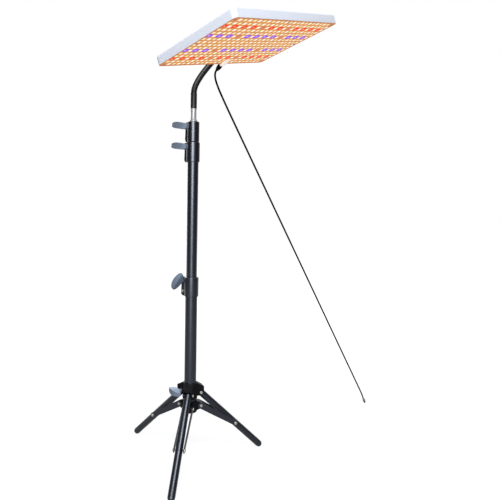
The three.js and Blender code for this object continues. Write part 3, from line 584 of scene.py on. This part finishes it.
# %% Panel frame
panel_place = at(87.7, -76.8, 748.8)
panel_turns = {"Z": 46.36, "Y": -12.33, "X": -11.49}  # degrees, in this order
panel_frame = Matrix.Translation(panel_place)
for axis, degrees in panel_turns.items():
    panel_frame = panel_frame @ Matrix.Rotation(math.radians(degrees), 4, axis)
print("panel centre", [round(v, 4) for v in panel_place])

# %% [markdown]
# ## The cord's boot
# Where the cord leaves the inlet, a moulded boot keeps it from being bent sharply: a thick grip
# for two fingers, then a taper with ribs, so that it bends a little at each. A cone with ribs
# drawn as a bump would be quicker, but its outline would stay smooth. So the outline is noted
# as on a lathe, as the radius at each distance from the inlet, and the tube helper sweeps it
# along a straight line that points slightly down.

# %% Cord boot
# Distance from the inlet and radius, in millimetres
boot_profile = [
    (1.7, 3.6), (2.2, 4.1), (7.6, 4.2), (8.2, 4.0),  # grip
    (8.3, 3.4), (9.0, 3.3), (9.1, 3.8), (9.8, 3.6),  # four ribs, each smaller
    (9.9, 3.0), (10.6, 2.9), (10.7, 3.4), (11.4, 3.2),
    (11.5, 2.6), (12.2, 2.5), (12.3, 2.9), (13.2, 2.6),
]
boot_drop = math.radians(20)
boot_start = Vector((20, 81, 0))
boot_heading = Vector((0, math.cos(boot_drop), -math.sin(boot_drop)))
boot_line = [
    panel_frame @ ((boot_start + boot_heading * distance) / metre)
    for distance, radius in boot_profile
]
boot_mesh = tube(boot_line, [radius / metre for distance, radius in boot_profile], sides=28)
cord_boot = new_piece("cord_boot", boot_mesh, [pvc], "black_rubber")
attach(cord_boot, "panel")
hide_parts("cord_connector")
print("boot length", boot_profile[-1][0], "mm")

# %% [markdown]
# ## The cord
# A thin power lead leaves the boot at the panel's edge, makes one short bend and is held
# straight down to the floor, where it ends in a barrel plug. It could be a mesh tube like the
# boot, but its thickness never changes, and a curve with a round bevel keeps it exactly. The
# points are measured along its middle, close together in the two bends. Each handle is a third
# of the way to its neighbour, which makes the curve pass smoothly through all of them.

# %% Cord
cord_route = [
    (38.9, 3.5, 730.5), (37.4, 6.0, 728.6), (36.7, 8.6, 726.4), (36.6, 11.2, 724.0),
    (37.0, 13.7, 721.6), (37.8, 16.4, 718.7), (39.2, 19.4, 715.1), (41.4, 22.8, 710.5),
    (44.6, 26.8, 704.4), (49.5, 31.7, 695.8), (56.0, 37.0, 684.6), (63.1, 41.9, 672.4),
    (71.1, 47.7, 659.0), (111.3, 76.8, 592.2), (183.7, 129.2, 471.9), (264.1, 187.5, 338.2),
    (344.4, 245.7, 204.5), (416.8, 298.1, 84.2), (446.9, 319.9, 34.1), (455.0, 325.7, 20.7),
    (459.6, 328.2, 12.5), (461.9, 326.9, 6.9), (462.0, 322.2, 4.2), (461.2, 316.5, 3.8),
    (460.3, 311.9, 3.8),
]
cord_radius = 1.75
route = [at(*point) for point in cord_route]
cord_curve = bpy.data.curves.new("power_cord", "CURVE")
cord_curve.dimensions = "3D"
cord_curve.bevel_depth = cord_radius / metre
cord_curve.bevel_resolution = 5
cord_curve.resolution_u = 10
cord_curve.use_fill_caps = True
spline = cord_curve.splines.new("BEZIER")
spline.bezier_points.add(len(route) - 1)
for i, (knot, point) in enumerate(zip(spline.bezier_points, route)):
    before = route[max(i - 1, 0)]
    after = route[min(i + 1, len(route) - 1)]
    heading = (after - before).normalized()
    knot.co = point
    knot.handle_left = point - heading * (point - before).length / 3
    knot.handle_right = point + heading * (after - point).length / 3
cord = bpy.data.objects.new("power_cord", cord_curve)
bpy.context.collection.objects.link(cord)
cord.data.materials.append(pvc)
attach(cord, "panel")
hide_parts("cord_lead")

# %% [markdown]
# ## The gooseneck's line
# The neck stands up from its ferrule, leans forward and ends at the panel's tilt pin. Arcs set
# end to end could follow it, but light shows where one ends and the next begins. A bent tube
# takes the softest line between its two held ends, and a cubic curve with one handle at each
# end does the same.
#
# Equal steps along the curve's formula aren't equal steps along the neck. So the line is cut
# into many short pieces, their lengths are added up, and a point is found by how far along the
# neck it lies.

# %% Neck line
ferrule_top = 692.6
neck_start = Vector((0, 0, ferrule_top + 0.3))
pin_place = Vector((79.476, -77.198, 776.085))
start_pull, end_pull = 33, 136  # length of each handle: a longer one keeps the tube straighter
# The neck's direction at the pin, seen from above and against the horizon
heading_turn, heading_rise = math.radians(-96.4), math.radians(-14.6)
end_heading = Vector(
    (
        math.cos(heading_rise) * math.cos(heading_turn),
        math.cos(heading_rise) * math.sin(heading_turn),
        math.sin(heading_rise),
    )
)
handles = [
    neck_start,
    neck_start + Vector((0, 0, start_pull)),
    pin_place - end_heading * end_pull,
    pin_place,
]


def neck_curve(t):
    """A point on the cubic curve, in millimetres, for t from 0 to 1."""
    a, b, c, d = handles
    s = 1 - t
    return a * s**3 + b * 3 * s * s * t + c * 3 * s * t * t + d * t**3


neck_cuts = 2000
neck_points = [neck_curve(i / neck_cuts) for i in range(neck_cuts + 1)]
travelled = [0.0]
for a, b in zip(neck_points, neck_points[1:]):
    travelled.append(travelled[-1] + (b - a).length)
neck_length = travelled[-1]


def neck_at(share):
    """The point at a share of the neck's length."""
    goal = share * neck_length
    i = min(max(bisect.bisect_left(travelled, goal) - 1, 0), neck_cuts - 1)
    part = (goal - travelled[i]) / (travelled[i + 1] - travelled[i])
    return at(*neck_points[i].lerp(neck_points[i + 1], part))


print("neck length", round(neck_length, 1), "mm")

# %% [markdown]
# ## The gooseneck's sleeve
# On the real lamp the sleeve is one smooth black tube over the wound steel. The frame bends the
# neck at six joints, and a single mesh can only bend at one of them. So the sleeve is made in
# six stretches that meet halfway along each link, where nothing turns. Each stretch lies over
# its own joint, and the first and the last reach to the ends of the neck.

# %% Neck sleeve
neck_radius = 5.12
tip_length = 19  # the stiff fitting at the panel's end
bend_count = 6
stretch_steps = 24
soft_part = 0.8  # the share of each stretch around its joint
tip_start = 1 - tip_length / neck_length
bend_share = [k * tip_start / (bend_count + 1) for k in range(bend_count + 2)]
link_share = bend_share[1]
for k in range(1, bend_count + 1):
    first = bend_share[k] - (link_share if k == 1 else link_share / 2)
    last = bend_share[k] + (link_share if k == bend_count else link_share / 2)
    line = [neck_at(first + (last - first) * i / stretch_steps) for i in range(stretch_steps + 1)]
    radii = [neck_radius / metre] * len(line)
    stretch_mesh = tube(line, radii, sides=32, ends=k in (1, bend_count))
    stretch = new_piece(f"neck_sleeve_{k}", stretch_mesh, [sleeve], "neck_black")
    reach = link_share / 2 * soft_part
    bend_from = neck_at(bend_share[k] - reach)
    bend_to = neck_at(bend_share[k] + reach)
    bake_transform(stretch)
    if k < bend_count:
        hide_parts(f"neck_link_{k}")
print("sleeve stretches:", bend_count, "of about", round(link_share * neck_length, 1), "mm")

# %% [markdown]
# ## Where the LEDs go
# Sixteen rows of twenty-four small LEDs cover the board. Every second one in a row is cool
# white. The others are warm white, apart from two red rows and two violet rows, where a few
# far-red ones hardly glow. They could be typed as a list of nearly four hundred places, but the
# board was laid out by a rule: an even pitch both ways, with gaps at the inlet and at the
# corner screws. The script follows that rule.

# %% LED places
columns, rows = 24, 16
pitch_x, pitch_y = 10.9, 9.6  # from LED to LED along the panel's length and width
red_row = "RRRR-RR-RRRR"  # every second LED, where a dash is a far-red one
violet_row = "VVV-VVVV-VVV"
coloured_rows = {2: red_row, 5: violet_row, 10: violet_row, 13: red_row}
kind_of_mark = {"W": "warm", "R": "red", "V": "violet", "-": "dim"}


def led_kind(row, number):
    """The kind of the LED at this number of a row."""
    if number % 2:
        return "cool"
    marks = coloured_rows.get(row, "W" * columns)
    return kind_of_mark[marks[number // 2]]


def room_for_led(x, y):
    """Whether nothing else takes this place on the board."""
    at_inlet = 14 < x < 26 and y > 60
    at_corner_screw = abs(x) > 120 and abs(y) > 68
    return not (at_inlet or at_corner_screw)


led_places = {kind: [] for kind in spread_light}
for row in range(rows):
    for number in range(columns):
        x = (number - (columns - 1) / 2) * pitch_x
        y = (row - (rows - 1) / 2) * pitch_y
        if room_for_led(x, y):
            led_places[led_kind(row, number)].append((x, y))
print({kind: len(found) for kind, found in led_places.items()})

# %% [markdown]
# ## Solids from outlines
# LEDs, screws, rivets and the board's lit edge are all low solids whose outline changes a
# little with height. Each could be a block with a bevel modifier, but hundreds of modifiers are
# slow, and a bevel can't give each height its own finish. So an outline is drawn at each
# height, as a circle or as a rectangle with round corners, and faces join one outline to the
# next.


# %% Outline helpers
def rounded(half_x, half_y, corner, z, steps=3):
    """A rectangle with round corners, at one height."""
    outline = []
    for quarter, (sx, sy) in enumerate(((1, 1), (-1, 1), (-1, -1), (1, -1))):
        for i in range(steps + 1):
            a = (quarter + i / steps) * math.pi / 2
            x = sx * (half_x - corner) + corner * math.cos(a)
            y = sy * (half_y - corner) + corner * math.sin(a)
            outline.append((x, y, z))
    return outline


def circle(radius, z, sides=20):
    """A circle, at one height."""
    turns = [2 * math.pi * k / sides for k in range(sides)]
    return [(radius * math.cos(a), radius * math.sin(a), z) for a in turns]


def stack(mesh, outlines, matrix, finishes, hollow=False):
    """A closed solid from outlines one on another, with a finish for each band of faces.

    A hollow one is a frame: its last outline joins its first, and it has no lids.
    """
    hoops = [[mesh.verts.new(matrix @ Vector(point)) for point in outline] for outline in outlines]
    count = len(hoops[0])
    following = hoops[1:] + hoops[:1] if hollow else hoops[1:]
    for a, b, finish in zip(hoops, following, finishes):
        for k in range(count):
            after = (k + 1) % count
            mesh.faces.new((a[k], a[after], b[after], b[k])).material_index = finish
    if not hollow:
        mesh.faces.new(list(reversed(hoops[0]))).material_index = finishes[0]
        mesh.faces.new(hoops[-1]).material_index = finishes[-1]


print("points on a round outline:", len(circle(1, 0)))

# %% [markdown]
# ## The LEDs
# A surface-mounted LED is a flat moulded case with a slightly domed window. White ones have a
# large window that nearly fills the case. On the red and violet ones the light comes from a
# small spot, and the whole case takes on its colour. One object for each LED would make the
# scene heavy, so all LEDs of one kind are a single mesh that rides on the panel.

# %% LEDs
board_face = 0.8  # the board lies this far above the panel's lip
# Everything under the board is built downwards, in millimetres
under = (
    panel_frame
    @ Matrix.Scale(1 / metre, 4)
    @ Matrix.Translation((0, 0, board_face))
    @ Matrix.Rotation(math.pi, 4, "X")
)
# Half length and half width of the case and of its bright core, and the case's height
led_size = {
    "cool": ((3.9, 3.5), (3.1, 2.6), 0.55),
    "warm": ((3.6, 3.3), (2.5, 2.1), 0.55),
    "red": ((4.8, 4.0), (1.0, 1.0), 0.4),
    "violet": ((5.3, 4.3), (1.7, 1.7), 0.4),
    "dim": ((4.0, 3.3), (1.1, 1.1), 0.4),
}
case_corner = 1.2
sunk_in_board = 0.1
dome_height = 0.22
dome_top = 0.6  # the flat of the dome, as a share of the core
for kind, found in led_places.items():
    (wide, deep), (core_wide, core_deep), height = led_size[kind]
    led_outlines = [
        rounded(wide, deep, case_corner, -sunk_in_board),
        rounded(wide, deep, case_corner, height),
        rounded(core_wide, core_deep, core_wide * 0.95, height + 0.02),
        rounded(core_wide * dome_top, core_deep * dome_top, core_wide * 0.55, height + dome_height),
    ]
    leds = bmesh.new()
    for x, y in found:
        stack(leds, led_outlines, under @ Matrix.Translation((x, -y, 0)), [0, 1, 2])
    # The white LEDs' cases take the darker glow on their sides, as painted shade
    side = shaded_case_glow if kind in ("cool", "warm") else spread_light[kind]
    finishes = [side, spread_light[kind], core_light[kind]]
    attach(new_piece(f"led_chips_{kind}", leds, finishes, "led_board"), "panel")
print("LEDs:", sum(len(found) for found in led_places.values()))

# %% [markdown]
# ## The board's lit edge
# The LEDs light the tray's lip as well, so the board seems to reach right to the panel's edge.
# Brighter lamps could give that too, but they would bleach the tray. A thin bead of painted light
# does it instead: it closes the gap between board and tray and covers the lip, and it is highest
# at the outside.

# %% Board bead of painted light
lip_outside, lip_corner = (132.6, 78.6), 6.6
bead_width, bead_height = 3.2, 1.0
bead_inside = (lip_outside[0] - bead_width, lip_outside[1] - bead_width)
inner_corner = lip_corner - bead_width
bead_outlines = [
    rounded(*lip_outside, lip_corner, 0.7),
    rounded(*lip_outside, lip_corner, bead_height),
    rounded(*bead_inside, inner_corner, bead_height - 0.3),
    rounded(*bead_inside, inner_corner, -0.2),
]
# The bead's glow is painted light from the LEDs, laid over the lip's shaded underside
bead = bmesh.new()
stack(bead, bead_outlines, under, [0, 0, 0, 0], hollow=True)
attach(new_piece("painted_lip_glow", bead, [shaded_case_glow], "led_board"), "panel")
print("bead inside", [round(v, 1) for v in bead_inside], "mm from the panel's middle")

# %% [markdown]
# ## The board's screws
# Eight small screws hold the board, at its corners and at the middle of its sides. Their heads
# are in the board's solid and could do by themselves, but a flat head mirrors a single spot of
# the room. A domed cap over each catches the light from any side, which tells metal from an
# unlit LED, and four circles are enough for its outline.

# %% Screw heads
screw_places = [(x, y) for x in (-126, 0, 126) for y in (-72, 0, 72) if x or y]
screw_head = [circle(2.0, 0.5), circle(2.0, 1.0), circle(1.6, 1.3), circle(0.8, 1.45)]
heads = bmesh.new()
for x, y in screw_places:
    stack(heads, screw_head, under @ Matrix.Translation((x, -y, 0)), [0, 0, 0])
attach(new_piece("board_screws", heads, [screw_steel], "bright_steel"), "panel")
print("screws:", len(screw_places))

# %% [markdown]
# ## Brace rivets
# Each pair of strips is closed by a rivet through the leg. Its two heads are bright steel, set
# by a round punch, so they are domed. They could ride on the leg, but on the real stand the
# rivet is what the strips turn about and its heads press on the strips. So they swing with the
# strips. Their place is worked out along the leg, from its pivot towards the foot.

# %% Rivet heads
leg_pivot = (20, 140)  # distance from the column's axis and height
foot_centre = (155.2, 6.4)
rivet_distance = 107  # along the leg, from its pivot
# Degrees from straight ahead, towards the right
leg_azimuths = {"front": -11.2, "right": 108.8, "left": 228.8}
strip_outside = 10.25  # from the leg's middle to the strips' outer faces
share = rivet_distance / math.dist(leg_pivot, foot_centre)
rivet_out = leg_pivot[0] + (foot_centre[0] - leg_pivot[0]) * share
rivet_up = leg_pivot[1] + (foot_centre[1] - leg_pivot[1]) * share
rivet_head = [circle(3.3, -0.3), circle(3.3, 0.8), circle(2.7, 1.5), circle(1.5, 1.95)]
for leg, azimuth in leg_azimuths.items():
    a = math.radians(azimuth)
    outwards = Vector((math.sin(a), -math.cos(a), 0))
    rivets = bmesh.new()
    for side in (1, -1):
        across = Vector((math.cos(a), math.sin(a), 0)) * side
        spot = outwards * rivet_out + across * strip_outside
        aim = across.to_track_quat("Z", "Y").to_matrix().to_4x4()
        place = Matrix.Translation(at(spot.x, spot.y, rivet_up)) @ aim
        stack(rivets, rivet_head, place @ Matrix.Scale(1 / metre, 4), [0, 0, 0])
    heads = new_piece(f"brace_rivets_{leg}", rivets, [plated_steel], "bright_steel")
    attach(heads, f"brace_{leg}_body")
print("rivets at radius", round(rivet_out, 1), "height", round(rivet_up, 1))

# %% [markdown]
# ## The floor
# The lamp stands in front of plain white. A sheet that curves up behind it could give that, as
# in a studio, but the world can be white to the camera by itself. So a flat plane is enough: it
# takes the shadow, and the tubes mirror it.

# %% Floor plane
floor_size = 6.0  # from the middle to each side, in metres
corners = [
    (-floor_size, -floor_size, 0),
    (floor_size, -floor_size, 0),
    (floor_size, floor_size, 0),
    (-floor_size, floor_size, 0),
]
floor_mesh = bpy.data.meshes.new("floor")
floor_mesh.from_pydata(corners, [], [(0, 1, 2, 3)])
floor = bpy.data.objects.new("floor", floor_mesh)
bpy.context.collection.objects.link(floor)
print("floor:", 2 * floor_size, "m wide")

# %% [markdown]
# ## The floor's paint
# Only a trace of shadow shows at the feet. A white floor under strong lamps would look like
# that, but it would throw so much light up that the black tubes turn grey. So the floor is a
# mid grey that glows, and the glow is seen by the camera alone: a little less near the stand,
# where the grey and the shadow show through it, and full white further out.
#
# In the tubes' mirror light the floor is dark near the stand and pale far behind it, as a table
# in front of a pale wall is.

# %% Floor paint
white = linear("#ffffff")
smooth = {"interpolation_type": "SMOOTHSTEP"}
floor_paint = bpy.data.materials.new("studio_floor")
floor_paint.use_nodes = True
floor_paint.cycles.emission_sampling = "NONE"  # its glow is for the eye, and lights nothing
floor.data.materials.append(floor_paint)
tree = floor_paint.node_tree
tree.nodes.clear()
path = add(tree, "ShaderNodeLightPath")
ground = add(tree, "ShaderNodeTexCoord")
paint = add(tree, "ShaderNodeBsdfDiffuse", {"Color": linear("#a2a2a2")})

# For the camera: the paint and a glow that grows with the distance from the stand
away = add(
    tree, "ShaderNodeVectorMath", {"operation": "LENGTH"}, Vector=ground.outputs["Object"]
)
fade = add(
    tree,
    "ShaderNodeMapRange",
    {"From Min": 0.3, "From Max": 1.2, "To Min": 0.8, "To Max": 1.0},
    Value=away.outputs["Value"],
)
near_glow = add(tree, "ShaderNodeEmission", {"Color": white}, Strength=fade.outputs["Result"])
for_camera = add(tree, "ShaderNodeAddShader")
tree.links.new(paint.outputs[0], for_camera.inputs[0])
tree.links.new(near_glow.outputs[0], for_camera.inputs[1])

# For everything else: the paint, and in mirror light a glow far behind the stand
spot = add(tree, "ShaderNodeSeparateXYZ", None, Vector=ground.outputs["Object"])
sweep = add(
    tree,
    "ShaderNodeMapRange",
    {**smooth, "From Min": 0.4, "From Max": 1.2, "To Min": 0.0, "To Max": 0.5},
    Value=spot.outputs["Y"],
)
in_mirrors = add(tree, "ShaderNodeMath", {"operation": "MULTIPLY"})
tree.links.new(sweep.outputs["Result"], in_mirrors.inputs[0])
tree.links.new(path.outputs["Is Glossy Ray"], in_mirrors.inputs[1])
far_glow = add(tree, "ShaderNodeEmission", {"Color": white}, Strength=in_mirrors.outputs[0])
for_object = add(tree, "ShaderNodeAddShader")
tree.links.new(paint.outputs[0], for_object.inputs[0])
tree.links.new(far_glow.outputs[0], for_object.inputs[1])

pick = add(tree, "ShaderNodeMixShader")
tree.links.new(path.outputs["Is Camera Ray"], pick.inputs[0])
tree.links.new(for_object.outputs[0], pick.inputs[1])
tree.links.new(for_camera.outputs[0], pick.inputs[2])
add(tree, "ShaderNodeOutputMaterial", None, Surface=pick.outputs[0])
print("floor nodes:", len(tree.nodes))

# %% [markdown]
# ## The room around
# Black satin tubes are drawn by what they mirror. A photographer puts dark cards at both sides,
# which leave the tubes' edges black, and keeps the wall behind pale. Cards could be built as
# planes, but they would show in other views. So the world itself is dark towards left and
# right, and paler behind than in front. It counts twice in mirror light, as the wall there is
# brighter than what it sheds on the object. The camera sees plain white wherever it looks past
# the object.

# %% World with its dark sides
world = bpy.data.worlds.new("studio")
bpy.context.scene.world = world
world.use_nodes = True
tree = world.node_tree
tree.nodes.clear()
path = add(tree, "ShaderNodeLightPath")
sky = add(tree, "ShaderNodeTexCoord")
direction = add(tree, "ShaderNodeSeparateXYZ", None, Vector=sky.outputs["Generated"])

# Dark cards: full light straight ahead and behind, little at both sides
sideways = add(tree, "ShaderNodeMath", {"operation": "ABSOLUTE"})
tree.links.new(direction.outputs["X"], sideways.inputs[0])
cards = add(
    tree,
    "ShaderNodeMapRange",
    {**smooth, "From Min": 0.35, "From Max": 0.8, "To Min": 1.0, "To Max": 0.15},
    Value=sideways.outputs[0],
)
# The wall: pale behind the stand, nearly dark in front of it
wall = add(
    tree,
    "ShaderNodeMapRange",
    {**smooth, "From Min": -0.3, "From Max": 0.5, "To Min": 0.08, "To Max": 0.5},
    Value=direction.outputs["Y"],
)
# Mirror light sees it twice as bright
in_mirrors = add(
    tree,
    "ShaderNodeMapRange",
    {"To Min": 1.0, "To Max": 2.0},
    Value=path.outputs["Is Glossy Ray"],
)
room = add(tree, "ShaderNodeMath", {"operation": "MULTIPLY"})
tree.links.new(cards.outputs["Result"], room.inputs[0])
tree.links.new(wall.outputs["Result"], room.inputs[1])
level = add(tree, "ShaderNodeMath", {"operation": "MULTIPLY"})
tree.links.new(room.outputs[0], level.inputs[0])
tree.links.new(in_mirrors.outputs["Result"], level.inputs[1])
for_object = add(tree, "ShaderNodeBackground", {"Color": white}, Strength=level.outputs[0])
for_camera = add(tree, "ShaderNodeBackground", {"Color": white, "Strength": 1.0})
pick = add(tree, "ShaderNodeMixShader")
tree.links.new(path.outputs["Is Camera Ray"], pick.inputs[0])
tree.links.new(for_object.outputs[0], pick.inputs[1])
tree.links.new(for_camera.outputs[0], pick.inputs[2])
add(tree, "ShaderNodeOutputWorld", None, Surface=pick.outputs[0])
print("world nodes:", len(tree.nodes))

# %% [markdown]
# ## The lamps
# One large softbox stands beside the camera and draws the broad line of light down the tubes.
# It could light the whole stand, but pieces that lean another way mirror another spot of the
# room. So a small low one draws the line at the foot of the column, and one on a boom draws it
# on the leg that comes forward. The last stands behind and keeps the far sides from going dull.
# All are slightly blue, as flash light is beside the LEDs, and at a plain level, at which the
# tray stays just under white.


# %% Lamps
def softbox(name, place, target, width, height, power):
    """A rectangular lamp at a place, turned to its target, with its sides in metres."""
    data = bpy.data.lights.new(name, "AREA")
    data.shape = "RECTANGLE"
    data.size, data.size_y = width, height
    data.energy = power
    data.color = (0.94, 0.97, 1.0)
    piece = bpy.data.objects.new(name, data)
    bpy.context.collection.objects.link(piece)
    piece.location = place
    piece.rotation_euler = (target - place).to_track_quat("-Z", "Y").to_euler()
    print(name, power, "W")


# Name, place, target, width and height in metres, and power in watts
softbox("front_softbox", at(-200, -1900, 980), at(0, 0, 640), 1.1, 0.95, 26)
softbox("low_softbox", at(-150, -1700, 200), at(0, 0, 250), 0.7, 0.36, 2.2)
softbox("boom_softbox", at(110, -1000, 1750), at(0, -80, 80), 1.0, 0.6, 14)
softbox("back_softbox", at(-500, 1900, 900), at(0, 0, 450), 1.0, 1.4, 8)
bpy.context.scene.view_settings.view_transform = "Standard"
